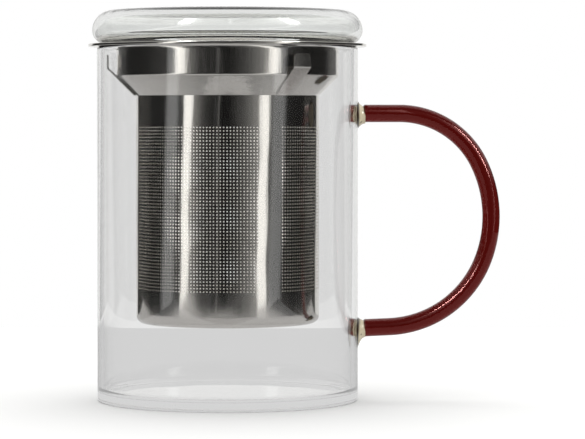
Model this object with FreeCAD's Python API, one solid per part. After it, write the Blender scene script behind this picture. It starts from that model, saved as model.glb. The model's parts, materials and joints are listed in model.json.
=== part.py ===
"""Glass tea mug with a steel infuser and a loose glass lid.

Millimetres, +Z up. The origin is the centre of the mug's flat base, and the
handle points along +X.
"""
import FreeCAD, Part
import math
import os

from FreeCAD import Vector

# Mug
mug_outer_radius = 40.0
mug_height = 108.5
mug_wall = 2.0
mug_base = 2.6
mug_outer_corner = 1.2
mug_inner_corner = 2.0
mug_rim_round = 0.8

# Handle: a round rod from a pad near the rim to a pad near the base
rod_radius = 2.7
handle_top_drop = 20.4
handle_foot_height = 22.2
handle_reach = 40.95
handle_upper_turn = 63.5
handle_outer_turn = 47.0
handle_foot_slope = 2.6
handle_bend_proportions = (27.0, 37.0, 32.0)

# Pads that fuse the handle to the wall
weld_reach = 2.2
weld_lip = 0.15
weld_waist_reach = 0.7
weld_waist_flare = 0.5
upper_weld_radius = 4.3
lower_weld_radius = 4.8
lower_weld_sag = 1.2

# Infuser, hung in the mug by its flange
infuser_sheet = 0.5
flange_overhang = 2.6
flange_thickness = 0.8
flange_edge_round = 0.15
flange_neck_round = 0.9
collar_wall_gap = 3.94
collar_height = 9.0
shoulder_step = 5.96
shoulder_bend = 0.8
infuser_floor_gap = 21.3
pan_height = 3.5
pan_corner = 2.5

# Sprung fingers that centre the infuser in the mug
tab_wall_gap = 1.05
tab_top_drop = 2.6
tab_width = 6.2
tab_corner = 1.6
tab_bend = 0.6
tab_foot_rise = 0.3
tab_angles = {"front": 37.7, "left": -82.3, "rear": 157.7}

# Lid: a hollow cap whose neck drops into the collar
lid_edge_inset = 1.2
lid_height = 10.25
lid_wall = 1.8
lid_top_round = 6.0
lid_bottom_round = 4.0
lid_neck_gap = 1.06
lid_neck_depth = 6.0
lid_neck_fillet = 1.0

# Derived sizes and places
mug_inner_radius = mug_outer_radius - mug_wall
collar_radius = mug_inner_radius - collar_wall_gap
sleeve_radius = collar_radius - shoulder_step
flange_radius = mug_outer_radius + flange_overhang
flange_top = mug_height + flange_thickness
shoulder_top = mug_height - collar_height
shoulder_foot = shoulder_top - shoulder_step
pan_bottom = mug_base + infuser_floor_gap
pan_top = pan_bottom + pan_height
weld_face = mug_outer_radius + weld_reach
lid_radius = flange_radius - lid_edge_inset
lid_top = flange_top + lid_height
lid_neck_radius = collar_radius - infuser_sheet - lid_neck_gap
lid_neck_bottom = flange_top - lid_neck_depth


def rounded_face(corners, plane):
    """Closed face through corners (u, v, radius), each rounded by its radius.

    plane turns (u, v) into a point in space.
    """
    count = len(corners)
    starts = []
    ends = []
    arcs = []
    for i in range(count):
        u, v, radius = corners[i]
        before = corners[i - 1]
        after = corners[(i + 1) % count]
        to_before = Vector(before[0] - u, before[1] - v, 0)
        to_after = Vector(after[0] - u, after[1] - v, 0)
        corner = Vector(u, v, 0)
        angle = to_before.getAngle(to_after)
        if radius <= 0 or angle > math.pi - 1e-6:
            starts.append(corner)
            ends.append(corner)
            arcs.append(None)
            continue
        to_before.normalize()
        to_after.normalize()
        setback = radius / math.tan(angle / 2)
        middle = to_before + to_after
        middle.normalize()
        centre = corner + middle * (radius / math.sin(angle / 2))
        starts.append(corner + to_before * setback)
        ends.append(corner + to_after * setback)
        arcs.append(centre - middle * radius)
    edges = []
    for i in range(count):
        if arcs[i] is not None:
            arc = Part.Arc(plane(starts[i]), plane(arcs[i]), plane(ends[i]))
            edges.append(arc.toShape())
        following = starts[(i + 1) % count]
        if ends[i].distanceToPoint(following) > 1e-6:
            line = Part.LineSegment(plane(ends[i]), plane(following))
            edges.append(line.toShape())
    return Part.Face(Part.Wire(edges))


def turned(corners):
    """Solid of revolution about Z from corners (radius, height, rounding)."""
    face = rounded_face(corners, lambda p: Vector(p.x, 0, p.y))
    return face.revolve(Vector(0, 0, 0), Vector(0, 0, 1), 360)


def mug_body():
    """Straight cylinder with a flat base and a fire-polished rim."""
    rim_round = min(mug_rim_round, 0.4 * mug_wall)
    return turned([
        (0, 0, 0),
        (mug_outer_radius, 0, mug_outer_corner),
        (mug_outer_radius, mug_height, rim_round),
        (mug_inner_radius, mug_height, rim_round),
        (mug_inner_radius, mug_base, mug_inner_corner),
        (0, mug_base, 0),
    ])


def handle_path():
    """Centreline in the XZ plane: straight, three tangent arcs, straight.

    The arcs keep their proportions and are scaled to the height between the
    roots. The lower straight runs on into the pad.
    """
    first = math.radians(handle_upper_turn)
    second = first + math.radians(handle_outer_turn)
    third = math.pi - math.radians(handle_foot_slope)
    headings = [0, first, second, third]
    drop = 0
    inward = 0
    outward = 0
    for i, bend in enumerate(handle_bend_proportions):
        a = headings[i]
        b = headings[i + 1]
        drop += bend * (math.cos(a) - math.cos(b))
        outer = min(max(math.pi / 2, a), b)
        outward += bend * (math.sin(outer) - math.sin(a))
        inward += bend * (math.sin(outer) - math.sin(b))
    span = mug_height - handle_top_drop - handle_foot_height
    slope = math.tan(math.radians(handle_foot_slope))
    reach = mug_outer_radius + handle_reach - weld_face
    scale = (span - reach * slope) / (drop - inward * slope)
    point = Vector(weld_face, 0, mug_height - handle_top_drop)
    root = Vector(weld_face + reach - scale * outward, 0, point.z)
    edges = [Part.LineSegment(point, root).toShape()]
    point = root
    for i, bend in enumerate(handle_bend_proportions):
        a = headings[i]
        b = headings[i + 1]
        radius = bend * scale
        centre = point - Vector(math.sin(a), 0, math.cos(a)) * radius
        half = (a + b) / 2
        middle = centre + Vector(math.sin(half), 0, math.cos(half)) * radius
        end = centre + Vector(math.sin(b), 0, math.cos(b)) * radius
        edges.append(Part.Arc(point, middle, end).toShape())
        point = end
    foot = Vector(weld_face, 0, handle_foot_height)
    end = foot + (foot - point).normalize() * rod_radius
    edges.append(Part.LineSegment(point, end).toShape())
    return Part.Wire(edges)


def handle_rod():
    """Round rod swept along the handle's centreline, both ends square."""
    path = handle_path()
    start = Vector(weld_face, 0, mug_height - handle_top_drop)
    section = Part.Wire([Part.Circle(start, Vector(1, 0, 0), rod_radius).toShape()])
    rod = path.makePipeShell([section], True, True)
    corner = Vector(-weld_face, -weld_face, -mug_height)
    trim = Part.makeBox(2 * weld_face, 2 * weld_face, 3 * mug_height, corner)
    return rod.cut(trim)


def weld_pad(height, foot_radius, sag):
    """Flared pad from the mug's wall to the square end of the rod.

    The foot's centre hangs below the rod's by the sag.
    """
    waist_radius = rod_radius + weld_waist_flare * (foot_radius - rod_radius)
    stations = [
        (mug_outer_radius - 0.5 * mug_wall, foot_radius, sag),
        (mug_outer_radius + weld_waist_reach, waist_radius, weld_waist_flare * sag),
        (weld_face, rod_radius + weld_lip, 0),
    ]
    rings = []
    for x, radius, drop in stations:
        circle = Part.Circle(Vector(x, 0, height - drop), Vector(1, 0, 0), radius)
        rings.append(Part.Wire([circle.toShape()]))
    pad = Part.makeLoft(rings, True, False)
    return pad.cut(Part.makeCylinder(mug_outer_radius, mug_height))


def infuser_collar():
    """Flange, straight collar and 45 degree shoulder of one drawn sheet."""
    inner_radius = collar_radius - infuser_sheet
    sleeve_inner = sleeve_radius - infuser_sheet
    slant = infuser_sheet * (math.sqrt(2) - 1)
    edge_round = min(flange_edge_round, 0.45 * flange_thickness)
    return turned([
        (sleeve_radius, shoulder_foot, 0),
        (collar_radius, shoulder_top, shoulder_bend),
        (collar_radius, mug_height, flange_neck_round),
        (flange_radius, mug_height, edge_round),
        (flange_radius, flange_top, edge_round),
        (inner_radius, flange_top, flange_neck_round + infuser_sheet),
        (inner_radius, shoulder_top + slant, 0.4 * shoulder_bend),
        (sleeve_inner, shoulder_foot + slant, 0),
        (sleeve_inner, shoulder_foot, 0),
    ])


def infuser_sleeve():
    """Rolled tube between the shoulder and the pan."""
    return turned([
        (sleeve_radius - infuser_sheet, pan_top, 0),
        (sleeve_radius, pan_top, 0),
        (sleeve_radius, shoulder_foot, 0),
        (sleeve_radius - infuser_sheet, shoulder_foot, 0),
    ])


def infuser_bottom():
    """Shallow pressed pan that closes the sleeve."""
    inner = sleeve_radius - infuser_sheet
    return turned([
        (0, pan_bottom, 0),
        (sleeve_radius, pan_bottom, pan_corner),
        (sleeve_radius, pan_top, 0),
        (inner, pan_top, 0),
        (inner, pan_bottom + infuser_sheet, pan_corner - infuser_sheet),
        (0, pan_bottom + infuser_sheet, 0),
    ])


def centring_tab(angle):
    """Finger that lies on the shoulder, runs on at 45 degrees, then upright."""
    outer = mug_inner_radius - tab_wall_gap
    inner = outer - infuser_sheet
    top = mug_height - tab_top_drop
    slant = infuser_sheet * (math.sqrt(2) - 1)
    foot_radius = sleeve_radius + tab_foot_rise
    foot = shoulder_foot + tab_foot_rise
    bend = shoulder_foot + (inner - sleeve_radius)
    step = infuser_sheet / math.sqrt(2)
    ring = turned([
        (foot_radius, foot, 0),
        (foot_radius + step, foot - step, 0),
        (outer, bend - slant, tab_bend + infuser_sheet),
        (outer, top, 0),
        (inner, top, 0),
        (inner, bend, tab_bend),
    ])
    half = 0.5 * tab_width
    blank = rounded_face([
        (-half, shoulder_foot - infuser_sheet, 0),
        (half, shoulder_foot - infuser_sheet, 0),
        (half, top, min(tab_corner, 0.9 * half)),
        (-half, top, min(tab_corner, 0.9 * half)),
    ], lambda p: Vector(p.x, 0, p.y))
    finger = ring.common(blank.extrude(Vector(0, -2 * mug_outer_radius, 0)))
    finger.rotate(Vector(0, 0, 0), Vector(0, 0, 1), angle)
    return finger


def glass_lid():
    """Hollow cap with a full round edge and an open neck below."""
    neck_inner = lid_neck_radius - lid_wall
    cavity_radius = lid_radius - lid_wall
    cavity_floor = flange_top + lid_wall
    cavity_top = lid_top - lid_wall
    top_round = min(lid_top_round, 0.59 * lid_height)
    bottom_round = min(lid_bottom_round, 0.395 * lid_height)
    return turned([
        (0, lid_top, 0),
        (0, cavity_top, 0),
        (cavity_radius, cavity_top, max(top_round - lid_wall, 0.2)),
        (cavity_radius, cavity_floor, max(bottom_round - lid_wall, 0.2)),
        (neck_inner, cavity_floor, lid_neck_fillet),
        (neck_inner, lid_neck_bottom, 0.4 * lid_wall),
        (lid_neck_radius, lid_neck_bottom, 0.4 * lid_wall),
        (lid_neck_radius, flange_top, lid_neck_fillet),
        (lid_radius, flange_top, bottom_round),
        (lid_radius, lid_top, top_round),
    ])


def main():
    os.makedirs("parts", exist_ok=True)
    upper_root = mug_height - handle_top_drop
    pieces = {
        "mug_body": mug_body(),
        "handle_rod": handle_rod(),
        "upper_handle_weld": weld_pad(upper_root, upper_weld_radius, 0),
        "lower_handle_weld": weld_pad(
            handle_foot_height, lower_weld_radius, lower_weld_sag),
        "infuser_collar": infuser_collar(),
        "infuser_sleeve": infuser_sleeve(),
        "infuser_bottom": infuser_bottom(),
        "glass_lid": glass_lid(),
    }
    for place, angle in tab_angles.items():
        pieces["centring_tab_" + place] = centring_tab(angle)
    for name, shape in pieces.items():
        solid = shape.Solids[0]
        print(name, solid.isValid(), round(solid.Volume, 2), solid.BoundBox)
        solid.exportStep("parts/" + name + ".step")


main()
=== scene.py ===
"""Dresses a clear glass tea mug with its rod handle, steel infuser and glass lid.

Metres, +Z up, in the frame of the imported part. -Y points at the camera.
"""
import json
import math

import bpy
import numpy as np
from bpy.props import FloatProperty
from bpy.props import FloatVectorProperty
from bpy.props import IntProperty
from bpy.props import PointerProperty
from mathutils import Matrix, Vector

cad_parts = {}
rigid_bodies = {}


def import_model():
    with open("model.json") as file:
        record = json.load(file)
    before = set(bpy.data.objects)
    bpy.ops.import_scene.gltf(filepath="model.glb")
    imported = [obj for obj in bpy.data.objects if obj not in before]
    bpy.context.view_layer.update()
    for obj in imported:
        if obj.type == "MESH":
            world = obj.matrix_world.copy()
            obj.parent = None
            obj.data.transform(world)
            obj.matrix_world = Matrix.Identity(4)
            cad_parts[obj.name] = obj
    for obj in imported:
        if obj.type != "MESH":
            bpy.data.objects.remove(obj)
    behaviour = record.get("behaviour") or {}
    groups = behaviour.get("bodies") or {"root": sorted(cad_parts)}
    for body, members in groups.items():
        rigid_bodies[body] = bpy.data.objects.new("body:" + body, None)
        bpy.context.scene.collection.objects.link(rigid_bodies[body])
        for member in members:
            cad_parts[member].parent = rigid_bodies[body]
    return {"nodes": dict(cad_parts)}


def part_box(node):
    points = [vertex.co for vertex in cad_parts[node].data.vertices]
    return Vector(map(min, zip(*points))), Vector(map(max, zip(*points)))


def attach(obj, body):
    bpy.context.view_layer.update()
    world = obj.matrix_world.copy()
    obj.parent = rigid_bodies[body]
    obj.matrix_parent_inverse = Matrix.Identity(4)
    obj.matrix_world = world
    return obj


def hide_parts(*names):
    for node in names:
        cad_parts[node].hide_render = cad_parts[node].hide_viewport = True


bl_info = {
    "name": "Infuser Tea Mug",
    "version": (1, 0, 0),
    "blender": (4, 5, 0),
    "location": "View3D > Sidebar > Tea Mug",
    "description": "Builds a glass tea mug with a steel infuser and a loose lid",
    "category": "Object",
}

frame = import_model()

FULL_TURN = 2 * math.pi
MM_PER_M = 1000.0
TOUCHING = 1e-9
EDGE_HOLD = 0.0002
ROD_SIDES = 48
SHEET_CREASE = math.radians(40)
BOROSILICATE_IOR = 1.473

# The studio. Heights are those of a direction's Z, the sine of its elevation.
STRIP_LEAN = 1.4
WALL_FOOT = -0.3
WALL_TOP = 0.16
CEILING_FULL = 0.4
BELT_GAIN = 15.0
WHITE = (1.0, 1.0, 1.0, 1.0)
BLACK = (0.0, 0.0, 0.0, 1.0)
CEILING = (1.1, 1.1, 1.09, 1.0)
CANOPY = (0.12, 0.12, 0.118, 1.0)
BACKDROP = (0.84, 0.84, 0.836, 1.0)
BACKDROP_BY_ONE_WALL = (0.78, 0.78, 0.775, 1.0)
ROOM = (1.08, 1.08, 1.078, 1.0)
ROOM_BY_GLASS = (0.08, 0.08, 0.08, 1.0)

# Light of the studio's walls by bearing in degrees. 0 is the front, 90 the right.
HORIZON = [
    # Pale back.
    (-180, 0.95), (-150, 0.95),
    # Dark flag at the left.
    (-147, 0.02), (-90, 0.02), (-70, 0.05), (-56, 0.06),
    # Left strip light, with a soft inner edge.
    (-53, 1.9), (-45, 1.9), (-42, 0.3), (-36, 0.16), (-26, 0.05),
    # Dim front with a thin slit of light.
    (-11, 0.015), (-9.5, 0.2), (-8, 0.2), (-7, 0.012), (4, 0.015),
    # Right strip light, with a soft inner edge.
    (20, 0.09), (36, 0.26), (40.5, 0.32), (43, 1.8), (52, 1.8),
    # Dark flag at the right.
    (55, 0.1), (66, 0.04), (88, 0.015), (147, 0.03),
    # Pale back.
    (150, 0.95), (180, 0.95),
]


def linear(code):
    """Linear RGB of an sRGB hex value such as #C8B49A."""
    value = np.array([int(code[i:i + 2], 16) / 255 for i in (1, 3, 5)])
    curve = np.where(value <= 0.04045, value / 12.92, ((value + 0.055) / 1.055) ** 2.4)
    return tuple(float(v) for v in curve)


def low(node):
    """Lowest corner of a node of the frame."""
    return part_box(node)[0]


def high(node):
    """Highest corner of a node of the frame."""
    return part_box(node)[1]


def length(name, description, default):
    """A size in metres."""
    return FloatProperty(
        name=name, description=description, default=default, min=0.0,
        unit="LENGTH", subtype="DISTANCE", precision=5)


def angle(name, description, degrees):
    """An angle, given in degrees."""
    return FloatProperty(
        name=name, description=description, default=math.radians(degrees),
        unit="ROTATION", subtype="ANGLE")


def colour(name, description, code):
    """A colour, given as an sRGB hex value."""
    return FloatVectorProperty(
        name=name, description=description, default=linear(code),
        subtype="COLOR", size=3, min=0.0, max=1.0)


def plain(name, description, default):
    """A number with no unit."""
    return FloatProperty(name=name, description=description, default=default)


class MugSizes(bpy.types.PropertyGroup):
    """Blown glass mug."""

    wall: length("Wall", "Thickness of the mug's wall", 0.0020)
    base: length("Base", "Thickness of the mug's base", 0.0026)
    outer_corner: length("Outer corner", "Rounding under the mug", 0.0012)
    inner_corner: length("Inner corner", "Rounding inside the base", 0.0020)
    rim_round: length("Rim round", "Rounding of the fire-polished rim", 0.0009)


class HandleSizes(bpy.types.PropertyGroup):
    """Glass rod handle and the pads that fuse it to the wall."""

    upper_turn: angle("Upper turn", "Turn of the upper bend", 63.5)
    outer_turn: angle("Outer turn", "Turn of the outer bend", 47.0)
    foot_slope: angle("Foot slope", "Fall of the lower straight to the wall", 2.6)
    upper_bend: plain("Upper bend", "Share of the upper bend's radius", 27.0)
    outer_bend: plain("Outer bend", "Share of the outer bend's radius", 37.0)
    lower_bend: plain("Lower bend", "Share of the lower bend's radius", 32.0)
    weld_spread: plain("Pad spread", "Width of a pad's foot over its height", 1.1)
    weld_overlap: length("Fusion", "How far one glass reaches into the next", 0.00006)
    rod_dome: length("Rod dome", "Round end of the rod inside its pad", 0.0010)
    upper_weld_radius: length("Upper pad", "Radius at the wall", 0.0043)
    lower_weld_radius: length("Lower pad", "Radius at the wall", 0.0048)
    lower_weld_sag: length("Lower pad sag", "Drop of the lower pad's foot", 0.0012)


class InfuserSizes(bpy.types.PropertyGroup):
    """Steel infuser."""

    sheet: length("Sheet", "Thickness of the steel sheet", 0.0005)
    flange_edge: length("Flange edge", "Rounding of the flange's edge", 0.00015)
    neck_round: length("Neck bend", "Inner bend between flange and collar", 0.0009)
    shoulder_bend: length("Shoulder bend", "Bend between collar and shoulder", 0.0008)
    collar_gap: length("Collar gap", "From the mug's wall to the collar", 0.00394)
    collar_height: length("Collar height", "Straight part of the collar", 0.0090)
    pan_corner: length("Pan corner", "Rounding of the pan's corner", 0.0025)
    hole_pitch: length("Hole pitch", "Distance between holes", 0.0010)
    hole_radius: length("Hole radius", "Radius of a hole, outside", 0.00023)
    hole_inside: length("Hole inside", "Radius of a hole, inside", 0.00030)
    first_row: length("First row", "Height of the lowest row of holes", 0.0349)
    rows: IntProperty(name="Rows", description="Rows of holes", default=50)
    seam_width: length("Seam", "Width of the plain band at the seam", 0.0075)
    seam_angle: angle("Seam angle", "Seam's turn from the front", 28.0)


class TabSizes(bpy.types.PropertyGroup):
    """Sprung fingers that centre the infuser."""

    wall_gap: length("Wall gap", "From the mug's wall to a finger", 0.00105)
    width: length("Width", "Width of a finger", 0.0062)
    corner: length("Corner", "Rounding of a finger's tip", 0.0016)
    bend: length("Bend", "Inner radius of a finger's bend", 0.0006)
    foot_rise: length("Foot rise", "From the shoulder's foot to a finger", 0.0003)
    front_angle: angle("Front finger", "Turn from the front", 37.7)


class LidSizes(bpy.types.PropertyGroup):
    """Hollow blown glass lid."""

    wall: length("Wall", "Thickness of the lid's wall", 0.0018)
    top_round: length("Top edge", "Outer rounding of the lid's top edge", 0.0060)
    bottom_round: length("Bottom edge", "Outer rounding of the lid's lower edge", 0.0040)
    neck_gap: length("Neck gap", "From the collar to the lid's neck", 0.00106)
    neck_fillet: length("Neck fillet", "Rounding where the neck starts", 0.0010)


class MugColours(bpy.types.PropertyGroup):
    """Colours of the glasses and the steel."""

    clear: colour("Clear glass", "Colour of the mug", "#FEFEFE")
    blown: colour("Blown glass", "Colour of the lid", "#FBFCFB")
    ruby: colour("Red glass", "Colour of the handle", "#C8756A")
    gleam: colour("Red gleam", "Colour of the red glass's reflections", "#FFB0AC")
    ruby_depth: colour("Red depth", "Colour the red glass lets deepest in", "#C03020")
    amber: colour("Pale glass", "Colour of the handle's pads", "#F8EAC8")
    # Painted shade: a dark line round the rim of each pad's foot, where its steep edge
    # looks dark.
    painted_rim_shade: colour("Shaded_rim", "Brown line where a pad meets the wall", "#2B1F12")
    steel: colour("Steel", "Colour of the infuser", "#C9C6C1")
    # Painted light: paler than the outer steel, so the basket looks lit inside through its
    # holes.
    lining: colour("Lining", "Colour inside the sleeve", "#F1EFEB")
    table: colour("Table", "Colour of the floor", "#E7E7E6")


class StudioSizes(bpy.types.PropertyGroup):
    """Camera and light."""

    mm_per_pixel: plain("Scale", "Millimetres to a pixel at the mug's axis", 0.3071)
    focal_pixels: plain("Focal length", "Focal length in pixels", 2900.0)
    image_width: IntProperty(name="Width", description="Pixels across", default=585)
    image_height: IntProperty(name="Height", description="Pixels down", default=439)
    axis_column: plain("Axis column", "Pixel column of the mug's axis", 227.6)
    base_row: plain("Base row", "Pixel row of the mug's base", 400.3)
    horizon_row: plain("Horizon row", "Pixel row of the camera's height", 115.0)
    softbox_size: length("Softbox", "Side of the square lamp overhead", 0.6)
    softbox_power: plain("Softbox power", "Watts of the square lamp overhead", 1.9)
    basket_power: plain("Basket light", "Watts of each lamp in the basket", 0.004)


class TeaMugSettings(bpy.types.PropertyGroup):
    """All that a user would change."""

    mug: PointerProperty(type=MugSizes)
    handle: PointerProperty(type=HandleSizes)
    infuser: PointerProperty(type=InfuserSizes)
    tab: PointerProperty(type=TabSizes)
    lid: PointerProperty(type=LidSizes)
    colours: PointerProperty(type=MugColours)
    studio: PointerProperty(type=StudioSizes)


def settings():
    """The scene's settings."""
    return bpy.context.scene.tea_mug


def rounded_profile(corners, step=math.radians(7.5)):
    """Points of an outline whose corners (u, v, radius) are rounded.

    A corner's arc has its centre on the bisector, at radius over the sine of
    half the angle. Two holding points near each end of a straight keep its
    shading flat. The outline stays open between its last and first corners.
    """
    places = [np.array(corner[:2], float) for corner in corners]
    pieces = []
    for i, corner in enumerate(corners):
        here = places[i]
        radius = corner[2]
        inside = 0 < i < len(corners) - 1
        if radius <= 0 or not inside:
            pieces.append(here[None])
            continue
        before = places[i - 1] - here
        after = places[i + 1] - here
        before /= np.linalg.norm(before)
        after /= np.linalg.norm(after)
        opening = math.acos(np.clip(before @ after, -1, 1))
        middle = (before + after) / np.linalg.norm(before + after)
        centre = here + middle * radius / math.sin(opening / 2)
        start = here + before * radius / math.tan(opening / 2)
        end = here + after * radius / math.tan(opening / 2)
        turn = math.pi - opening
        count = max(3, int(math.ceil(turn / step)) + 1)
        share = np.linspace(0, 1, count)[:, None]
        arms = np.sin((1 - share) * turn) * (start - centre)
        arms += np.sin(share * turn) * (end - centre)
        pieces.append(centre + arms / math.sin(turn))
    outline = [pieces[0]]
    for following in pieces[1:]:
        start = outline[-1][-1]
        run = following[0] - start
        size = np.linalg.norm(run)
        if size > 5 * EDGE_HOLD:
            inset = run / size * EDGE_HOLD
            outline.append(np.array([start + inset, following[0] - inset]))
        outline.append(following)
    points = np.concatenate(outline)
    moved = np.linalg.norm(np.diff(points, axis=0), axis=1) > TOUCHING
    return points[np.concatenate([[True], moved])]


def lathe(profile, segments=256, closed=False):
    """Surface of revolution: (r cos a, r sin a, z) over angle a and profile.

    Each end of the profile that lies on the axis becomes one point with a fan
    of triangles, and a closed profile joins its last ring to its first.
    Returns points, quads and triangles.
    """
    on_axis = profile[:, 0] < TOUCHING
    radius, height = profile[~on_axis].T
    turn = np.arange(segments) * FULL_TURN / segments
    rings = np.stack([
        np.outer(radius, np.cos(turn)),
        np.outer(radius, np.sin(turn)),
        np.repeat(height[:, None], segments, 1),
    ], -1)
    index = np.arange(radius.size * segments).reshape(radius.size, segments)
    points = np.concatenate([rings.reshape(-1, 3), np.zeros((2, 3))])
    points[-2, 2] = profile[0, 1]
    points[-1, 2] = profile[-1, 1]
    after = np.roll(index, -1, 1)
    if closed:
        index = np.vstack([index, index[:1]])
        after = np.vstack([after, after[:1]])
    quads = np.stack([index[:-1], after[:-1], after[1:], index[1:]], -1).reshape(-1, 4)
    fans = []
    if on_axis[0]:
        pole = np.full(segments, len(points) - 2)
        fans.append(np.stack([pole, after[0], index[0]], -1))
    if on_axis[-1]:
        pole = np.full(segments, len(points) - 1)
        fans.append(np.stack([index[-1], after[-1], pole], -1))
    if not fans:
        return points[:-2], quads, np.zeros((0, 3), int)
    return points, quads, np.concatenate(fans)


def tube(rings):
    """Closed tube through rings (row, around, xyz), each end a fan to its mean.

    The rings run along the tube, and each goes round it so that the cross
    product of the ways round and along points outwards.
    """
    rows, around = rings.shape[:2]
    index = np.arange(rows * around).reshape(rows, around)
    after = np.roll(index, -1, 1)
    points = np.concatenate([
        rings.reshape(-1, 3), rings[:1].mean(1), rings[-1:].mean(1)])
    quads = np.stack([index[:-1], after[:-1], after[1:], index[1:]], -1).reshape(-1, 4)
    first = np.full(around, rows * around)
    fans = np.concatenate([
        np.stack([first, after[0], index[0]], -1),
        np.stack([index[-1], after[-1], first + 1], -1),
    ])
    return points, quads, fans


def slab(outer, inner):
    """Closed sheet between two grids (u, v, xyz), with its four edges filled.

    The cross product of u and v on the outer grid points away from the sheet.
    """
    rows, columns = outer.shape[:2]
    points = np.concatenate([outer.reshape(-1, 3), inner.reshape(-1, 3)])
    face = np.arange(rows * columns).reshape(rows, columns)
    back = face + rows * columns
    blocks = [
        [face[:-1, :-1], face[1:, :-1], face[1:, 1:], face[:-1, 1:]],
        [back[:-1, :-1], back[:-1, 1:], back[1:, 1:], back[1:, :-1]],
    ]
    border = [face[:, 0], face[-1, :], face[::-1, -1], face[0, ::-1]]
    for edge in border:
        under = edge + rows * columns
        blocks.append([edge[:-1], under[:-1], under[1:], edge[1:]])
    quads = [np.stack(block, -1).reshape(-1, 4) for block in blocks]
    return points, np.concatenate(quads), np.zeros((0, 3), int)


def arc_path(start, heading, turns, radii, before, after, step=math.radians(3)):
    """Points and directions of a path of straights and arcs in the XZ plane.

    It starts with a straight of length before, bends through each turn to the
    right on its radius and ends with a straight of length after.
    """
    places = [np.array(start, float)[None]]
    ways = [np.array([heading])]
    share = np.array([0.1, 0.9, 1.0])[:, None]

    def straight(size):
        way = ways[-1][-1]
        ahead = np.array([math.cos(way), math.sin(way)])
        places.append(places[-1][-1] + ahead * size * share)
        ways.append(np.full(len(share), way))

    straight(before)
    for turn, radius in zip(turns, radii):
        way = ways[-1][-1]
        centre = places[-1][-1] + radius * np.array([math.sin(way), -math.cos(way)])
        heads = way - np.linspace(0, turn, int(turn / step) + 2)[1:]
        spokes = np.stack([-np.sin(heads), np.cos(heads)], -1)
        places.append(centre + radius * spokes)
        ways.append(heads)
    straight(after)
    return np.concatenate(places), np.concatenate(ways)


def new_piece(name, material, points, *blocks, sharp=None, lining=None):
    """Smooth-shaded mesh object from points and blocks of faces.

    Points that no face uses are dropped. Edges that turn by more than the
    sharp angle keep a crease. The last block takes the lining, if there is one.
    """
    used = np.unique(np.concatenate([block.ravel() for block in blocks]))
    place = np.zeros(len(points), int)
    place[used] = np.arange(used.size)
    faces = [face for block in blocks for face in place[block].tolist()]
    mesh = bpy.data.meshes.new(name)
    mesh.from_pydata(points[used].tolist(), [], faces)
    mesh.polygons.foreach_set("use_smooth", np.ones(len(mesh.polygons), bool))
    if sharp is not None:
        mesh.set_sharp_from_angle(angle=sharp)
    mesh.materials.append(material)
    if lining is not None:
        mesh.materials.append(lining)
        which = np.zeros(len(faces), np.int32)
        which[-len(blocks[-1]):] = 1
        mesh.polygons.foreach_set("material_index", which)
    mesh.update()
    piece = bpy.data.objects.new(name, mesh)
    bpy.context.scene.collection.objects.link(piece)
    return piece


def fit(piece, body, node):
    """Makes a piece move with its body and stand for its node."""
    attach(piece, body)
    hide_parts(node)


def fill_inputs(tree, node, inputs):
    """Fills or links a node's inputs.

    inputs maps a socket's name or number to a constant, an output socket, or a
    node, which stands for its first live output.
    """
    for key, value in inputs.items():
        if isinstance(value, bpy.types.Node):
            value = next(socket for socket in value.outputs if socket.enabled)
        if isinstance(value, bpy.types.NodeSocket):
            tree.links.new(value, node.inputs[key])
        else:
            node.inputs[key].default_value = value


def add_node(tree, kind, inputs=None, **values):
    """Adds a node, sets its values and fills or links its inputs."""
    node = tree.nodes.new(kind)
    for key, value in values.items():
        setattr(node, key, value)
    fill_inputs(tree, node, inputs or {})
    return node


def new_material(name, **shader_values):
    """Material with one Principled shader. Returns it, its tree and shader."""
    material = bpy.data.materials.new(name)
    material.use_nodes = True
    tree = material.node_tree
    shader = tree.nodes["Principled BSDF"]
    for key, value in shader_values.items():
        shader.inputs[key.replace("_", " ")].default_value = value
    return material, tree, shader


def millimetres(tree, stretch=(1.0, 1.0, 1.0)):
    """Object coordinates in millimetres, squeezed along each axis by stretch."""
    place = add_node(tree, "ShaderNodeTexCoord")
    scale = tuple(MM_PER_M * share for share in stretch)
    return add_node(tree, "ShaderNodeMapping", {
        "Vector": place.outputs["Object"], "Scale": scale})


def opaque(rgb):
    """Colour with full alpha for a shader's socket."""
    return (rgb[0], rgb[1], rgb[2], 1.0)


def drawn_borosilicate():
    """Borosilicate tube, drawn and flame-worked: clear, faintly wavy.

    The long waves of the draw bend what is seen through the wall by a hair.
    """
    wave_mm = 9.0
    material, tree, shader = new_material(
        "drawn_borosilicate", Base_Color=opaque(settings().colours.clear),
        Transmission_Weight=1.0, IOR=BOROSILICATE_IOR, Roughness=0.0)
    draw_lines = add_node(tree, "ShaderNodeTexNoise", {
        "Vector": millimetres(tree, (1.0, 1.0, 0.06)),
        "Scale": 1 / wave_mm, "Detail": 1.0, "Roughness": 0.4})
    bump = add_node(tree, "ShaderNodeBump", {
        "Height": draw_lines, "Strength": 0.25, "Distance": 0.00012})
    fill_inputs(tree, shader, {"Normal": bump})
    return material


def mould_blown_borosilicate():
    """Borosilicate blown in a mould: faintly grey, with a soft orange peel."""
    peel_mm = 7.0
    material, tree, shader = new_material(
        "mould_blown_borosilicate", Base_Color=opaque(settings().colours.blown),
        Transmission_Weight=1.0, IOR=BOROSILICATE_IOR, Roughness=0.0)
    peel = add_node(tree, "ShaderNodeTexNoise", {
        "Vector": millimetres(tree), "Scale": 1 / peel_mm, "Detail": 2.0})
    bump = add_node(tree, "ShaderNodeBump", {
        "Height": peel, "Strength": 0.3, "Distance": 0.00015})
    fill_inputs(tree, shader, {"Normal": bump})
    return material


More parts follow.
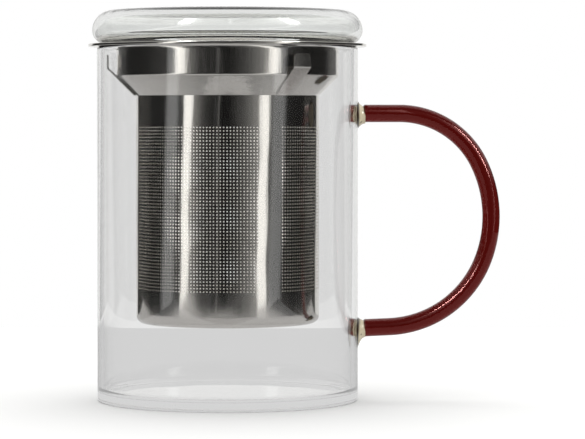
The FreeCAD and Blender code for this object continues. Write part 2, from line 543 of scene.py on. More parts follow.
def ruby_rod_glass():
    """Selenium ruby glass rod: its thick middle is dark red, its edges paler.

    The colour deepens with the glass that the light passes, so most of it
    is absorption, and faint cords from the draw run through it.
    """
    cord_mm = 6.0
    colours = settings().colours
    material, tree, shader = new_material(
        "selenium_ruby_glass", Base_Color=opaque(colours.ruby),
        Transmission_Weight=1.0, IOR=1.5, Roughness=0.02,
        Specular_Tint=opaque(colours.gleam))
    cords = add_node(tree, "ShaderNodeTexNoise", {
        "Vector": millimetres(tree), "Scale": 1 / cord_mm, "Detail": 2.0})
    bump = add_node(tree, "ShaderNodeBump", {
        "Height": cords, "Strength": 0.2, "Distance": 0.0001})
    fill_inputs(tree, shader, {"Normal": bump})
    depth = add_node(tree, "ShaderNodeVolumeAbsorption", {
        "Color": opaque(colours.ruby_depth), "Density": 700.0})
    fill_inputs(tree, tree.nodes["Material Output"], {"Volume": depth})
    return material


def sealing_glass(name, height, foot_radius):
    """Sealing glass melted between rod and wall: cream, milky, speckled.

    A brown line of painted shade runs round the rim of its foot, standing for
    the dark outline at its steep edge. Specks lie about a millimetre apart.
    """
    speck_mm = 0.9
    rim_mm = MM_PER_M * foot_radius
    colours = settings().colours
    material, tree, shader = new_material(
        name, Transmission_Weight=0.25, IOR=1.49, Roughness=0.06)
    place = millimetres(tree)
    specks = add_node(tree, "ShaderNodeTexNoise", {
        "Vector": place, "Scale": 1 / speck_mm, "Detail": 3.0, "Roughness": 0.6})
    from_middle = add_node(tree, "ShaderNodeVectorMath", {
        0: place, 1: (0.0, 0.0, MM_PER_M * height)}, operation="SUBTRACT")
    across = add_node(tree, "ShaderNodeVectorMath", {
        0: from_middle, 1: (0.0, 1.0, 1.0)}, operation="MULTIPLY")
    reach = add_node(tree, "ShaderNodeVectorMath", {0: across}, operation="LENGTH")
    # Painted shade: the outer part of the pad's foot turns dark brown.
    clear_of_rim_shade = add_node(tree, "ShaderNodeMapRange", {
        "Value": reach, "From Min": 0.95 * rim_mm, "From Max": 0.8 * rim_mm})
    between_specks = add_node(tree, "ShaderNodeMapRange", {
        "Value": specks, "From Min": 0.30, "From Max": 0.42})
    off_specks_and_rim_shade = add_node(tree, "ShaderNodeMath", {
        0: clear_of_rim_shade, 1: between_specks}, operation="MINIMUM")
    # Cream glass with dark specks, and the painted shade line round the foot's rim.
    cream_specks_and_rim_shade = add_node(tree, "ShaderNodeMix", {
        "Factor": off_specks_and_rim_shade, 6: opaque(colours.painted_rim_shade), 7: opaque(colours.amber)},
        data_type="RGBA")
    bump = add_node(tree, "ShaderNodeBump", {
        "Height": specks, "Strength": 0.5, "Distance": 0.0002})
    fill_inputs(tree, shader, {"Base Color": cream_specks_and_rim_shade, "Normal": bump})
    return material


def rolled_stainless():
    """18/8 sheet, rolled and polished lengthways: bright with fine streaks.

    Streaks run up the infuser, drawn two thirds of a millimetre wide so that
    they show. Under them lie the flat dents and the waves that rolling leaves.
    """
    streak_mm = 0.7
    dent_mm = 14.0
    wave_mm = 4.0
    material, tree, shader = new_material(
        "rolled_stainless", Base_Color=opaque(settings().colours.steel), Metallic=1.0)
    streaks = add_node(tree, "ShaderNodeTexNoise", {
        "Vector": millimetres(tree, (1.0, 1.0, 0.02)),
        "Scale": 1 / streak_mm, "Detail": 4.0, "Roughness": 0.6})
    roughness = add_node(tree, "ShaderNodeMapRange", {
        "Value": streaks, "To Min": 0.04, "To Max": 0.11})
    dents = add_node(tree, "ShaderNodeTexNoise", {
        "Vector": millimetres(tree, (1.0, 1.0, 0.5)),
        "Scale": 1 / dent_mm, "Detail": 1.0})
    dented = add_node(tree, "ShaderNodeBump", {
        "Height": dents, "Strength": 1.0, "Distance": 0.0002})
    waves = add_node(tree, "ShaderNodeTexNoise", {
        "Vector": millimetres(tree, (1.0, 1.0, 0.05)),
        "Scale": 1 / wave_mm, "Detail": 3.0})
    bump = add_node(tree, "ShaderNodeBump", {
        "Height": waves, "Strength": 0.5, "Distance": 0.0001, "Normal": dented})
    fill_inputs(tree, shader, {"Roughness": roughness, "Normal": bump})
    return material


def drawn_stainless():
    """18/8 sheet, deep drawn and buffed: a bright, slightly rippled mirror.

    The marks of the draw are drawn coarse enough to show.
    """
    mark_mm = 0.6
    ripple_mm = 2.5
    material, tree, shader = new_material(
        "drawn_stainless", Base_Color=opaque(settings().colours.steel), Metallic=1.0)
    draw_marks = add_node(tree, "ShaderNodeTexNoise", {
        "Vector": millimetres(tree, (1.0, 1.0, 0.03)),
        "Scale": 1 / mark_mm, "Detail": 4.0})
    roughness = add_node(tree, "ShaderNodeMapRange", {
        "Value": draw_marks, "To Min": 0.05, "To Max": 0.17})
    ripple = add_node(tree, "ShaderNodeTexNoise", {
        "Vector": millimetres(tree, (1.0, 1.0, 0.1)),
        "Scale": 1 / ripple_mm, "Detail": 4.0})
    bump = add_node(tree, "ShaderNodeBump", {
        "Height": ripple, "Strength": 0.5, "Distance": 0.0001})
    fill_inputs(tree, shader, {"Roughness": roughness, "Normal": bump})
    return material


def matt_stainless():
    """18/8 sheet as it leaves the mill, not polished: a matt lining, coloured paler than
    steel as painted light inside the basket.
    """
    frost_mm = 0.5
    # The pale colour is painted light; the matt roughness is the mill finish.
    material, tree, shader = new_material(
        "mill_finish_brightened_stainless", Base_Color=opaque(settings().colours.lining), Metallic=1.0)
    frost = add_node(tree, "ShaderNodeTexNoise", {
        "Vector": millimetres(tree), "Scale": 1 / frost_mm, "Detail": 3.0})
    roughness = add_node(tree, "ShaderNodeMapRange", {
        "Value": frost, "To Min": 0.75, "To Max": 0.9})
    fill_inputs(tree, shader, {"Roughness": roughness})
    return material


def sheared_stainless():
    """18/8 strip, sheared and bent: duller than the collar, grained lengthways."""
    grain_mm = 0.4
    material, tree, shader = new_material(
        "sheared_stainless", Base_Color=opaque(settings().colours.steel), Metallic=1.0)
    grain = add_node(tree, "ShaderNodeTexNoise", {
        "Vector": millimetres(tree, (1.0, 1.0, 0.1)),
        "Scale": 1 / grain_mm, "Detail": 3.0})
    roughness = add_node(tree, "ShaderNodeMapRange", {
        "Value": grain, "To Min": 0.15, "To Max": 0.32})
    fill_inputs(tree, shader, {"Roughness": roughness})
    return material


def node_points(node):
    """Points of a node of the frame, one to a row."""
    mesh = frame["nodes"][node].data
    places = np.empty(len(mesh.vertices) * 3)
    mesh.vertices.foreach_get("co", places)
    return places.reshape(-1, 3)


def node_radius(node):
    """Largest distance of a node's points from the mug's axis."""
    places = node_points(node)
    return float(np.hypot(places[:, 0], places[:, 1]).max())


def bore_radius():
    """Radius of the mug's inside."""
    return node_radius("mug_body") - settings().mug.wall


def collar_radius():
    """Outer radius of the infuser's collar."""
    return bore_radius() - settings().infuser.collar_gap


def handle_foot_height():
    """Height at which the handle's lower end meets its pad.

    It is halfway up the lower of the rod's two end faces, whose points lie on
    the plane where the rod starts.
    """
    places = node_points("handle_rod")
    heights = places[places[:, 0] < places[:, 0].min() + 1e-5, 2]
    below = heights[heights < heights.mean()]
    return float(0.5 * (below.min() + below.max()))


def build_mug_glass():
    """Mug turned from its half section: base, wall, round rim, inside."""
    sizes = settings().mug
    radius = node_radius("mug_body")
    top = high("mug_body").z
    inner = radius - sizes.wall
    profile = rounded_profile([
        (0, 0, 0),
        (radius, 0, sizes.outer_corner),
        (radius, top, sizes.rim_round),
        (inner, top, sizes.rim_round),
        (inner, sizes.base, sizes.inner_corner),
        (0, sizes.base, 0),
    ])
    glass = new_piece("mug_glass", drawn_borosilicate(), *lathe(profile))
    fit(glass, "mug", "mug_body")


def handle_path(rod):
    """Middle line (x, z) of a rod of radius rod, and its headings.

    From the upper root, a straight, three arcs tangent to each other and a
    straight to the lower root. The arcs keep their proportions and are scaled
    to the height between the two roots, as in the solid.
    """
    sizes = settings().handle
    lowest = low("handle_rod")
    highest = high("handle_rod")
    top = highest.z - rod
    foot = handle_foot_height()
    second = sizes.upper_turn + sizes.outer_turn
    heads = np.array([0, sizes.upper_turn, second, math.pi - sizes.foot_slope])
    bends = np.array([sizes.upper_bend, sizes.outer_bend, sizes.lower_bend])
    starts = heads[:-1]
    ends = heads[1:]
    widest = np.clip(math.pi / 2, starts, ends)
    drop = (bends * (np.cos(starts) - np.cos(ends))).sum()
    outward = (bends * (np.sin(widest) - np.sin(starts))).sum()
    inward = (bends * (np.sin(widest) - np.sin(ends))).sum()
    reach = highest.x - rod - lowest.x
    slope = math.tan(sizes.foot_slope)
    scale = (top - foot - reach * slope) / (drop - inward * slope)
    upper = reach - scale * outward
    lower = (reach - scale * inward) / math.cos(sizes.foot_slope)
    path, ways = arc_path(
        (lowest.x, top), 0.0, ends - starts, bends * scale, upper, lower)
    # The rings of the last straight stand upright, as its pad's do.
    ways[-3:] = -math.pi
    return path, ways


def build_handle_rod(material):
    """Round rod carried along its path, with a quarter ellipse at each end.

    A ring of radius r has its points at the path's place plus r cos a across
    the heading and -r sin a along Y. The ends lie in the pads.
    """
    rod = 0.5 * (high("handle_rod").y - low("handle_rod").y)
    path, ways = handle_path(rod)
    dome = np.linspace(0.06, math.pi / 2, 7)[:-1]
    out = settings().handle.rod_dome * np.cos(dome)
    thin = rod * np.sin(dome)
    first_end = np.stack([path[0, 0] - out, np.full(out.size, path[0, 1])], -1)
    last_end = np.stack([path[-1, 0] - out[::-1], np.full(out.size, path[-1, 1])], -1)
    radius = np.concatenate([thin, np.full(len(path), rod), thin[::-1]])
    path = np.concatenate([first_end, path, last_end])
    ways = np.concatenate([np.zeros(out.size), ways, np.full(out.size, -math.pi)])
    turn = np.arange(ROD_SIDES) * FULL_TURN / ROD_SIDES
    lift = np.cos(turn)[None, :] * radius[:, None]
    side = -np.sin(turn)[None, :] * radius[:, None]
    rings = np.stack([
        path[:, :1] - np.sin(ways)[:, None] * lift,
        side,
        path[:, 1:] + np.cos(ways)[:, None] * lift,
    ], -1)
    rod_piece = new_piece("handle_rod_glass", material, *tube(rings))
    fit(rod_piece, "mug", "handle_rod")


def build_weld_pad(name, node, foot_radius, sag):
    """Pad of melted glass from a foot in the mug's wall to the rod's end.

    Its rings shrink from the foot's radius to the rod's with a hollow flare,
    (1 - share) to the power of hollow. The foot lies just under the wall's
    cylinder, x = sqrt(R^2 - y^2), and the tip goes a little way into the rod,
    so the three glasses look fused.
    """
    hollow = 2.2
    sizes = settings().handle
    wall = node_radius("mug_body")
    rod = high("handle_rod").y
    top = high(node).x + sizes.weld_overlap
    tip = rod - sizes.weld_overlap
    height = high(node).z - foot_radius + sag
    rings = np.linspace(0.02, 1, 9)[:-1]
    share = np.concatenate([np.zeros(8), np.linspace(0, 1, 17), np.ones(2)])
    fill = np.concatenate([rings, np.ones(17), [0.9, 0.02]])
    flare = (1 - share) ** hollow
    radius = (tip + (foot_radius - tip) * flare) * fill
    turn = np.arange(ROD_SIDES) * FULL_TURN / ROD_SIDES
    y = radius[:, None] * np.cos(turn) * (1 + (sizes.weld_spread - 1) * flare[:, None])
    z = height - (sag * flare)[:, None] + radius[:, None] * np.sin(turn)
    on_wall = np.sqrt(wall ** 2 - y ** 2) - sizes.weld_overlap
    x = on_wall + (top - on_wall) * share[:, None]
    material = sealing_glass("cream_" + name, height - sag, foot_radius)
    pad = new_piece(name, material, *tube(np.stack([x, y, z], -1)), sharp=math.radians(50))
    fit(pad, "mug", node)


def build_collar(material):
    """Flange, collar and shoulder turned from the section of one sheet."""
    sizes = settings().infuser
    flange = node_radius("infuser_collar")
    top = high("infuser_collar").z
    foot = low("infuser_collar").z
    rim = high("mug_body").z
    collar = collar_radius()
    sleeve = node_radius("infuser_sleeve")
    inner = collar - sizes.sheet
    shoulder = rim - sizes.collar_height
    # The shoulder falls at 45 degrees, so the inner corners lie this much higher.
    slant = sizes.sheet * (math.sqrt(2) - 1)
    section = rounded_profile([
        (sleeve, foot, 0),
        (collar, shoulder, sizes.shoulder_bend),
        (collar, rim, sizes.neck_round),
        (flange, rim, sizes.flange_edge),
        (flange, top, sizes.flange_edge),
        (inner, top, sizes.neck_round + sizes.sheet),
        (inner, shoulder + slant, 0.4 * sizes.shoulder_bend),
        (sleeve - sizes.sheet, foot + slant, 0),
        (sleeve - sizes.sheet, foot, 0),
    ])
    piece = new_piece(
        "collar_steel", material, *lathe(section, closed=True), sharp=SHEET_CREASE)
    fit(piece, "infuser", "infuser_collar")


def perforated_ring(heights, first, rows):
    """One ring of the sleeve: a grid of cells, each with an octagonal hole.

    Column lines run round from the seam, two to a cell, then eight cross the
    seam. heights are the row lines, and the cells start at row line first. A
    cell's eight rim points join eight points of its hole, outside and inside,
    and the hole's walls join the two, wider inside, as etching leaves them.
    """
    sizes = settings().infuser
    outer = node_radius("infuser_sleeve")
    seam = sizes.seam_width / outer
    cells = int(round((FULL_TURN - seam) * outer / sizes.hole_pitch))
    start = sizes.seam_angle - math.pi / 2 + seam / 2
    lines = np.concatenate([
        np.linspace(start, start + FULL_TURN - seam, 2 * cells + 1),
        np.linspace(start - seam, start, 9)[1:-1] + FULL_TURN,
    ])
    columns = lines.size
    last = first + 2 * rows
    grid = np.arange(heights.size * columns).reshape(heights.size, columns)
    after = np.roll(grid, -1, 1)
    inside = grid.size
    skin = np.stack([grid[:-1], after[:-1], after[1:], grid[1:]], -1)
    solid = np.ones(skin.shape[:2], bool)
    solid[first:last, :2 * cells] = False
    plain_quads = skin[solid]

    # k counts row lines and i column lines, to each cell's lower left corner.
    k = first + 2 * np.arange(rows)[:, None, None]
    i = 2 * np.arange(cells)[None, :, None]
    step_i = np.array([0, 1, 2, 2, 2, 1, 0, 0])
    step_k = np.array([0, 0, 0, 1, 2, 2, 2, 1])
    rim = grid[k + step_k, i + step_i].reshape(-1, 8)
    way = math.radians(-135) + np.arange(8) * math.pi / 4
    centre_a = lines[2 * np.arange(cells) + 1]
    centre_z = heights[first + 1 + 2 * np.arange(rows)]
    size = np.array([sizes.hole_radius, sizes.hole_inside])[:, None, None, None]
    hole_a = centre_a[:, None] + size / outer * np.cos(way)
    hole_z = centre_z[:, None, None] + size * np.sin(way)
    hole_a, hole_z = np.broadcast_arrays(hole_a, hole_z)
    corners = hole_a[0].size
    mouth = 2 * inside + np.arange(corners).reshape(-1, 8)
    throat = mouth + corners

    flat_a = np.broadcast_to(lines, grid.shape).ravel()
    flat_z = np.repeat(heights, columns)
    all_a = np.concatenate([flat_a, flat_a, hole_a.ravel()])
    all_z = np.concatenate([flat_z, flat_z, hole_z.ravel()])
    inner = outer - sizes.sheet
    all_r = np.concatenate([
        np.full(inside, outer), np.full(inside, inner),
        np.full(corners, outer), np.full(corners, inner)])
    points = np.stack([all_r * np.cos(all_a), all_r * np.sin(all_a), all_z], -1)

    rim_next = np.roll(rim, -1, 1)
    mouth_next = np.roll(mouth, -1, 1)
    throat_next = np.roll(throat, -1, 1)
    outside = [
        plain_quads,
        np.stack([rim, rim_next, mouth_next, mouth], -1).reshape(-1, 4),
        np.stack([mouth, mouth_next, throat_next, throat], -1).reshape(-1, 4),
        np.stack([grid[0] + inside, after[0] + inside, after[0], grid[0]], -1),
        np.stack([grid[-1], after[-1], after[-1] + inside, grid[-1] + inside], -1),
    ]
    lining = [
        plain_quads[:, ::-1] + inside,
        np.stack([
            rim_next + inside, rim + inside, throat, throat_next], -1).reshape(-1, 4),
    ]
    return points, np.concatenate(outside), np.concatenate(lining)


def build_sleeve(material, lining):
    """Perforated sleeve in three rings, so that each stays a light mesh."""
    sizes = settings().infuser
    bottom = low("infuser_sleeve").z
    top = high("infuser_sleeve").z
    half = 0.5 * sizes.hole_pitch
    begin = sizes.first_row - half
    end = begin + sizes.rows * sizes.hole_pitch
    ends = np.linspace(0, sizes.rows, 4).round().astype(int)
    for i, letter in enumerate("abc"):
        rows = int(ends[i + 1] - ends[i])
        base = begin + ends[i] * sizes.hole_pitch
        heights = base + half * np.arange(2 * rows + 1)
        first = 0
        if i == 0:
            margin = np.array([bottom, bottom + EDGE_HOLD, 0.5 * (bottom + begin)])
            heights = np.concatenate([margin, heights])
            first = margin.size
        if i == 2:
            heights = np.append(heights, [0.5 * (end + top), top - EDGE_HOLD, top])
        ring = new_piece(
            "sleeve_steel_" + letter, material,
            *perforated_ring(heights, first, rows), sharp=math.radians(30),
            lining=lining)
        fit(ring, "infuser", "infuser_sleeve")


def build_pan(material):
    """Pressed pan turned from its section."""
    sizes = settings().infuser
    radius = node_radius("infuser_bottom")
    bottom = low("infuser_bottom").z
    top = high("infuser_bottom").z
    inner = radius - sizes.sheet
    section = rounded_profile([
        (0, bottom, 0),
        (radius, bottom, sizes.pan_corner),
        (radius, top, 0),
        (inner, top, 0),
        (inner, bottom + sizes.sheet, sizes.pan_corner - sizes.sheet),
        (0, bottom + sizes.sheet, 0),
    ])
    pan = new_piece("pan_steel", material, *lathe(section), sharp=SHEET_CREASE)
    fit(pan, "infuser", "infuser_bottom")


def build_finger(place, turn, material):
    """Finger bent from a strip: up the shoulder's slope, then upright.

    The strip's line (rho, z) is a slope, an arc and an upright. A point w
    across the strip lies at (w, -sqrt(rho^2 - w^2)), turned about the axis.
    """
    node = "centring_tab_" + place
    sizes = settings().tab
    sheet = settings().infuser.sheet
    sleeve = node_radius("infuser_sleeve")
    shoulder = low("infuser_collar").z
    upright = bore_radius() - sizes.wall_gap - sheet
    top = high(node).z
    foot = np.array([sleeve + sizes.foot_rise, shoulder + sizes.foot_rise])
    corner = np.array([upright, shoulder + upright - sleeve])
    setback = sizes.bend * math.tan(math.pi / 8)
    slope = np.array([1.0, 1.0]) / math.sqrt(2)
    arc_start = corner - setback * slope
    centre = arc_start + sizes.bend * np.array([-slope[1], slope[0]])
    heads = np.linspace(math.pi / 4, math.pi / 2, 9)
    arc = centre + sizes.bend * np.stack([np.sin(heads), -np.cos(heads)], -1)
    rise = np.array([0.02, 0.3, 0.7, 0.98])[:, None]
    climb = foot + (arc_start - foot) * np.vstack([[[0.0]], rise])
    tip_start = top - sizes.corner
    tip = tip_start + sizes.corner * np.sin(np.linspace(0, math.pi / 2, 9))
    stand = np.concatenate([
        arc[-1, 1] + (tip_start - arc[-1, 1]) * rise[:, 0], tip])
    line = np.concatenate([
        climb, arc, np.stack([np.full(stand.size, upright), stand], -1)])
    ways = np.concatenate([
        np.full(len(climb), math.pi / 4), heads, np.full(stand.size, math.pi / 2)])
    out = line + sheet * np.stack([np.sin(ways), -np.cos(ways)], -1)
    over = np.clip(line[:, 1] - tip_start, 0, sizes.corner)
    half = 0.5 * sizes.width - sizes.corner
    half = half + np.sqrt(np.maximum(sizes.corner ** 2 - over ** 2, 0))
    across = np.concatenate([[1.0, 0.96], np.linspace(0.8, -0.8, 9), [-0.96, -1.0]])
    w = half[:, None] * across

    def bent(rho_z):
        x = w
        y = -np.sqrt(rho_z[:, :1] ** 2 - w ** 2)
        c = math.cos(turn)
        s = math.sin(turn)
        z = np.broadcast_to(rho_z[:, 1:], w.shape)
        return np.stack([c * x - s * y, s * x + c * y, z], -1)

    finger = new_piece(
        "finger_steel_" + place, material, *slab(bent(out), bent(line)),
        sharp=SHEET_CREASE)
    bevel = finger.modifiers.new("rounded edges", "BEVEL")
    bevel.width = 0.00012
    bevel.segments = 2
    bevel.limit_method = "ANGLE"
    fit(finger, "infuser", node)


def build_lid():
    """Lid turned from its section: hollow cap, round edges, open neck."""
    sizes = settings().lid
    radius = node_radius("glass_lid")
    top = high("glass_lid").z
    neck_end = low("glass_lid").z
    seat = high("infuser_collar").z
    neck = collar_radius() - settings().infuser.sheet - sizes.neck_gap
    wall = sizes.wall
    lip_round = 0.45 * wall
    hollow = radius - wall
    section = rounded_profile([
        (0, top - wall, 0),
        (hollow, top - wall, sizes.top_round - wall),
        (hollow, seat + wall, sizes.bottom_round - wall),
        (neck - wall, seat + wall, sizes.neck_fillet),
        (neck - wall, neck_end, lip_round),
        (neck, neck_end, lip_round),
        (neck, seat, sizes.neck_fillet),
        (radius, seat, sizes.bottom_round),
        (radius, top, sizes.top_round),
        (0, top, 0),
    ])
    lid = new_piece("lid_glass", mould_blown_borosilicate(), *lathe(section))
    fit(lid, "lid", "glass_lid")


def build_table():
    """Pale table, white where nothing shades it, grey in the mug's shadow.

    Only the camera sees it lit. Seen through glass or in one mirror it glows
    an even pale grey, and after a second mirror a darker one.
    """
    half = 0.4
    back = 0.3
    material, tree, shader = new_material("matt_laminate", Roughness=1.0)
    path = add_node(tree, "ShaderNodeLightPath")
    surface = add_node(tree, "ShaderNodeMix", {
        "Factor": path.outputs["Is Camera Ray"], 6: BLACK,
        7: opaque(settings().colours.table)}, data_type="RGBA")
    once = add_node(tree, "ShaderNodeMath", {
        0: path.outputs["Glossy Depth"], 1: 1.5}, operation="LESS_THAN")
    mirrored = add_node(tree, "ShaderNodeMapRange", {
        "Value": once, "To Min": 0.3, "To Max": 0.66})
    glow = add_node(tree, "ShaderNodeMapRange", {
        "Value": path.outputs["Is Camera Ray"], "To Min": mirrored, "To Max": 0.1})
    fill_inputs(tree, shader, {
        "Specular IOR Level": 0.0, "Emission Color": WHITE,
        "Base Color": surface, "Emission Strength": glow})
    corners = np.array([
        [-half, -half, 0], [half, -half, 0], [half, back, 0], [-half, back, 0]])
    table = new_piece("table", material, corners, np.array([[0, 1, 2, 3]]))


def fill_ramp(ramp, stops):
    """Sets a colour ramp to stops (position, light), very slightly warm."""
    elements = ramp.color_ramp.elements
    while len(elements) < len(stops):
        elements.new(0.5)
    for element, (position, light) in zip(elements, stops):
        element.position = position
        element.color = (light, light, light * 0.985, 1.0)


def studio_walls(tree, height, bearing):
    """Light of the studio's walls: a ramp once round, with strips that lean.

    It runs from the back through the left, the front and the right. The
    bearing of a place on it grows by STRIP_LEAN radians for each unit of
    height, up to the ceiling.
    """
    lean = add_node(tree, "ShaderNodeMapRange", {
        "Value": height, "From Min": WALL_FOOT, "From Max": WALL_TOP,
        "To Min": -WALL_FOOT * STRIP_LEAN, "To Max": -WALL_TOP * STRIP_LEAN})
    leaning = add_node(tree, "ShaderNodeMath", {0: bearing, 1: lean}, operation="ADD")
    share = add_node(tree, "ShaderNodeMapRange", {
        "Value": leaning, "From Min": -math.pi, "From Max": math.pi})
    walls = add_node(tree, "ShaderNodeValToRGB", {"Fac": share})
    fill_ramp(walls, [((degrees + 180) / 360, light) for degrees, light in HORIZON])
    return walls


def studio_ceiling(tree, axes, walls, outer_skin):
    """Light from above: bright, but dim to an outer surface facing the front.

    There it is a dark canopy, crossed by a belt in which the strip lights go
    on upwards, BELT_GAIN times as bright, for the glints on lid and handle.
    """
    facing = add_node(tree, "ShaderNodeMapRange", {
        "Value": axes.outputs["Y"], "From Min": 0.1, "From Max": -0.3},
        interpolation_type="SMOOTHSTEP")
    front_skin = add_node(tree, "ShaderNodeMath", {
        0: outer_skin, 1: facing}, operation="MULTIPLY")
    belt = add_node(tree, "ShaderNodeValToRGB", {"Fac": axes.outputs["Z"]})
    fill_ramp(belt, [(0.0, 0.0), (0.22, 0.0), (0.26, 1.0), (0.7, 1.0), (0.74, 0.0)])
    strips = add_node(tree, "ShaderNodeVectorMath", {
        0: walls, "Scale": BELT_GAIN}, operation="SCALE")
    canopy = add_node(tree, "ShaderNodeMix", {
        "Factor": belt, 6: CANOPY, 7: strips}, data_type="RGBA")
    return add_node(tree, "ShaderNodeMix", {
        "Factor": front_skin, 6: CEILING, 7: canopy}, data_type="RGBA")


def build_world():
    """Studio all round, told apart by the way a ray has come.

    A ray mirrored by steel or glass meets the walls and the ceiling. One that
    went straight through a glass wall meets the pale backdrop, whichever way it
    lies, and so does one that crossed a single wall, was mirrored and left
    towards the back. Matt surfaces get an even light from all round, and the
    camera itself sees white.
    """
    world = bpy.data.worlds.new("studio")
    bpy.context.scene.world = world
    world.use_nodes = True
    tree = world.node_tree
    place = add_node(tree, "ShaderNodeTexCoord")
    axes = add_node(tree, "ShaderNodeSeparateXYZ", {"Vector": place.outputs["Generated"]})
    height = axes.outputs["Z"]
    behind = add_node(tree, "ShaderNodeMath", {
        0: axes.outputs["Y"], 1: -1.0}, operation="MULTIPLY")
    bearing = add_node(tree, "ShaderNodeMath", {
        0: axes.outputs["X"], 1: behind}, operation="ARCTAN2")

    path = add_node(tree, "ShaderNodeLightPath")
    glass_faces = path.outputs["Transmission Depth"]
    unmirrored = add_node(tree, "ShaderNodeMath", {
        0: path.outputs["Glossy Depth"], 1: 0.5}, operation="LESS_THAN")
    mirrored = add_node(tree, "ShaderNodeMath", {
        0: 1.0, 1: unmirrored}, operation="SUBTRACT")
    outside = add_node(tree, "ShaderNodeMath", {
        0: glass_faces, 1: 0.5}, operation="LESS_THAN")
    outer_skin = add_node(tree, "ShaderNodeMath", {
        0: outside, 1: mirrored}, operation="MULTIPLY")
    one_wall = add_node(tree, "ShaderNodeMath", {
        0: glass_faces, 1: 2.0, 2: 0.5}, operation="COMPARE")

    walls = studio_walls(tree, height, bearing)
    overhead = studio_ceiling(tree, axes, walls, outer_skin)
    up = add_node(tree, "ShaderNodeMapRange", {
        "Value": height, "From Min": WALL_TOP, "From Max": CEILING_FULL},
        interpolation_type="SMOOTHSTEP")
    dome = add_node(tree, "ShaderNodeMix", {
        "Factor": up, 6: walls, 7: overhead}, data_type="RGBA")

    through = add_node(tree, "ShaderNodeMath", {
        0: glass_faces, 1: 1.5}, operation="GREATER_THAN")
    straight = add_node(tree, "ShaderNodeMath", {
        0: unmirrored, 1: through}, operation="MULTIPLY")
    turn = add_node(tree, "ShaderNodeMath", {0: bearing}, operation="ABSOLUTE")
    rearward = add_node(tree, "ShaderNodeMapRange", {
        "Value": turn, "From Min": math.radians(95), "From Max": math.radians(115)},
        interpolation_type="SMOOTHSTEP")
    wall_edge = add_node(tree, "ShaderNodeMath", {
        0: one_wall, 1: mirrored}, operation="MULTIPLY")
    rear_edge = add_node(tree, "ShaderNodeMath", {
        0: wall_edge, 1: rearward}, operation="MULTIPLY")
    pale = add_node(tree, "ShaderNodeMath", {
        0: straight, 1: rear_edge}, operation="MAXIMUM")
    tone = add_node(tree, "ShaderNodeMix", {
        "Factor": one_wall, 6: BACKDROP, 7: BACKDROP_BY_ONE_WALL}, data_type="RGBA")
    backdrop = add_node(tree, "ShaderNodeMix", {
        "Factor": pale, 6: dome, 7: tone}, data_type="RGBA")

    # A lit point samples the world before it counts as a bounce, so a ray that
    # met neither mirror nor glass lights something matt as well.
    after_matt = add_node(tree, "ShaderNodeMath", {
        0: path.outputs["Diffuse Depth"], 1: 0.5}, operation="GREATER_THAN")
    in_air = add_node(tree, "ShaderNodeMath", {
        0: outside, 1: unmirrored}, operation="MULTIPLY")
    scattered = add_node(tree, "ShaderNodeMath", {
        0: after_matt, 1: in_air}, operation="MAXIMUM")
    on_matt = add_node(tree, "ShaderNodeMix", {
        "Factor": path.outputs["Is Transmission Ray"], 6: ROOM, 7: ROOM_BY_GLASS},
        data_type="RGBA")
    even = add_node(tree, "ShaderNodeMix", {
        "Factor": scattered, 6: backdrop, 7: on_matt}, data_type="RGBA")
    seen = add_node(tree, "ShaderNodeMix", {
        "Factor": path.outputs["Is Camera Ray"], 6: even, 7: WHITE}, data_type="RGBA")
    fill_inputs(tree, tree.nodes["Background"], {"Color": seen})


def build_camera():
    """Camera level with the lid's seat, tilted down to centre the frame."""
    studio = settings().studio
    scale = studio.mm_per_pixel / MM_PER_M
    middle_column = studio.image_width / 2
    middle_row = studio.image_height / 2
    data = bpy.data.cameras.new("camera")
    data.sensor_width = 36.0
    data.lens = data.sensor_width * studio.focal_pixels / studio.image_width
    data.clip_start = 0.01
    data.clip_end = 50.0
    camera = bpy.data.objects.new("camera", data)
    bpy.context.scene.collection.objects.link(camera)
    camera.location = (
        (middle_column - studio.axis_column) * scale,
        -studio.focal_pixels * scale,
        (studio.base_row - studio.horizon_row) * scale,
    )
    tilt = math.atan((middle_row - studio.horizon_row) / studio.focal_pixels)
    camera.rotation_euler = (math.pi / 2 - tilt, 0.0, 0.0)
    bpy.context.scene.camera = camera


def add_softbox(place, aim):
    """Square lamp at a place, turned towards a point, unseen in steel and glass."""
    studio = settings().studio
    data = bpy.data.lights.new("overhead_softbox", "AREA")
    data.shape = "SQUARE"
    data.size = studio.softbox_size
    data.energy = studio.softbox_power
    lamp = bpy.data.objects.new("overhead_softbox", data)
    bpy.context.scene.collection.objects.link(lamp)
    lamp.location = place
    lamp.rotation_euler = (Vector(aim) - Vector(place)).to_track_quat("-Z", "Y").to_euler()
    lamp.visible_glossy = False
    lamp.visible_transmission = False


def add_basket_lights():
    """Three small round lamps up the basket's axis, seen only in what they light.

    They stand for the daylight that falls through the glass lid into the
    basket, so the sleeve's holes look bright against its dark outside. They
    light the sleeve alone.
    """
    lowest = 0.042
    spacing = 0.018
    basket = bpy.data.collections.new("lit_by_basket_light")
    for piece in bpy.context.scene.objects:
        if piece.name.startswith("sleeve_steel"):
            basket.objects.link(piece)
    for i in range(3):
        data = bpy.data.lights.new("basket_light", "POINT")
        data.energy = settings().studio.basket_power
        data.shadow_soft_size = 0.008
        lamp = bpy.data.objects.new("basket_light", data)
        bpy.context.scene.collection.objects.link(lamp)
        lamp.location = (0.0, 0.0, lowest + spacing * i)
        lamp.light_linking.receiver_collection = basket
        lamp.visible_camera = False
        lamp.visible_transmission = False


class TEAMUG_OT_mug(bpy.types.Operator):
    """Builds the clear glass mug"""

    bl_idname = "tea_mug.mug"
    bl_label = "Glass Mug"

    def execute(self, context):
        build_mug_glass()
        return {"FINISHED"}


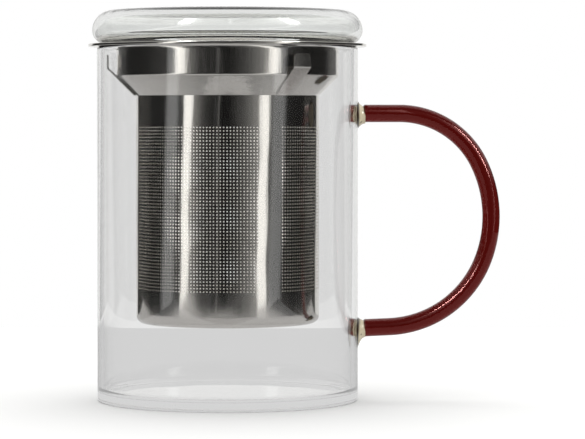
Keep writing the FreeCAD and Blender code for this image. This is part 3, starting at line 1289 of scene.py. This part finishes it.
class TEAMUG_OT_handle(bpy.types.Operator):
    """Builds the red rod handle and the two pads that fuse it to the wall"""

    bl_idname = "tea_mug.handle"
    bl_label = "Rod Handle"

    def execute(self, context):
        sizes = settings().handle
        build_handle_rod(ruby_rod_glass())
        build_weld_pad(
            "upper_pad_glass", "upper_handle_weld", sizes.upper_weld_radius, 0.0)
        build_weld_pad(
            "lower_pad_glass", "lower_handle_weld", sizes.lower_weld_radius,
            sizes.lower_weld_sag)
        return {"FINISHED"}


class TEAMUG_OT_infuser(bpy.types.Operator):
    """Builds the steel collar, perforated sleeve and pan"""

    bl_idname = "tea_mug.infuser"
    bl_label = "Steel Infuser"

    def execute(self, context):
        drawn = drawn_stainless()
        build_collar(drawn)
        build_sleeve(rolled_stainless(), matt_stainless())
        build_pan(drawn)
        return {"FINISHED"}


class TEAMUG_OT_fingers(bpy.types.Operator):
    """Builds the three sprung fingers that centre the infuser"""

    bl_idname = "tea_mug.fingers"
    bl_label = "Centring Fingers"

    def execute(self, context):
        front = settings().tab.front_angle
        steel = sheared_stainless()
        build_finger("front", front, steel)
        build_finger("left", front - FULL_TURN / 3, steel)
        build_finger("rear", front + FULL_TURN / 3, steel)
        return {"FINISHED"}


class TEAMUG_OT_lid(bpy.types.Operator):
    """Builds the loose glass lid"""

    bl_idname = "tea_mug.lid"
    bl_label = "Glass Lid"

    def execute(self, context):
        build_lid()
        return {"FINISHED"}


class TEAMUG_OT_stage(bpy.types.Operator):
    """Sets the table, the studio light and the camera"""

    bl_idname = "tea_mug.stage"
    bl_label = "Stage"

    def execute(self, context):
        build_table()
        build_world()
        build_camera()
        add_softbox((0.0, 0.3, 0.8), (0.0, 0.0, 0.05))
        add_basket_lights()
        context.scene.view_settings.view_transform = "Standard"
        return {"FINISHED"}


OPERATORS = [
    TEAMUG_OT_mug,
    TEAMUG_OT_handle,
    TEAMUG_OT_infuser,
    TEAMUG_OT_fingers,
    TEAMUG_OT_lid,
    TEAMUG_OT_stage,
]


class TEAMUG_PT_panel(bpy.types.Panel):
    """Lists the steps that build the mug"""

    bl_idname = "TEAMUG_PT_panel"
    bl_label = "Tea Mug"
    bl_space_type = "VIEW_3D"
    bl_region_type = "UI"
    bl_category = "Tea Mug"

    def draw(self, context):
        for operator in OPERATORS:
            self.layout.operator(operator.bl_idname)


CLASSES = [
    MugSizes, HandleSizes, InfuserSizes, TabSizes, LidSizes, MugColours, StudioSizes,
    TeaMugSettings, *OPERATORS, TEAMUG_PT_panel,
]


def register():
    for cls in CLASSES:
        bpy.utils.register_class(cls)
    bpy.types.Scene.tea_mug = PointerProperty(type=TeaMugSettings)


def unregister():
    del bpy.types.Scene.tea_mug
    for cls in reversed(CLASSES):
        bpy.utils.unregister_class(cls)


def main():
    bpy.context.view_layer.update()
    register()
    bpy.ops.tea_mug.mug()
    bpy.ops.tea_mug.handle()
    bpy.ops.tea_mug.infuser()
    bpy.ops.tea_mug.fingers()
    bpy.ops.tea_mug.lid()
    bpy.ops.tea_mug.stage()


if __name__ == "__main__":
    main()
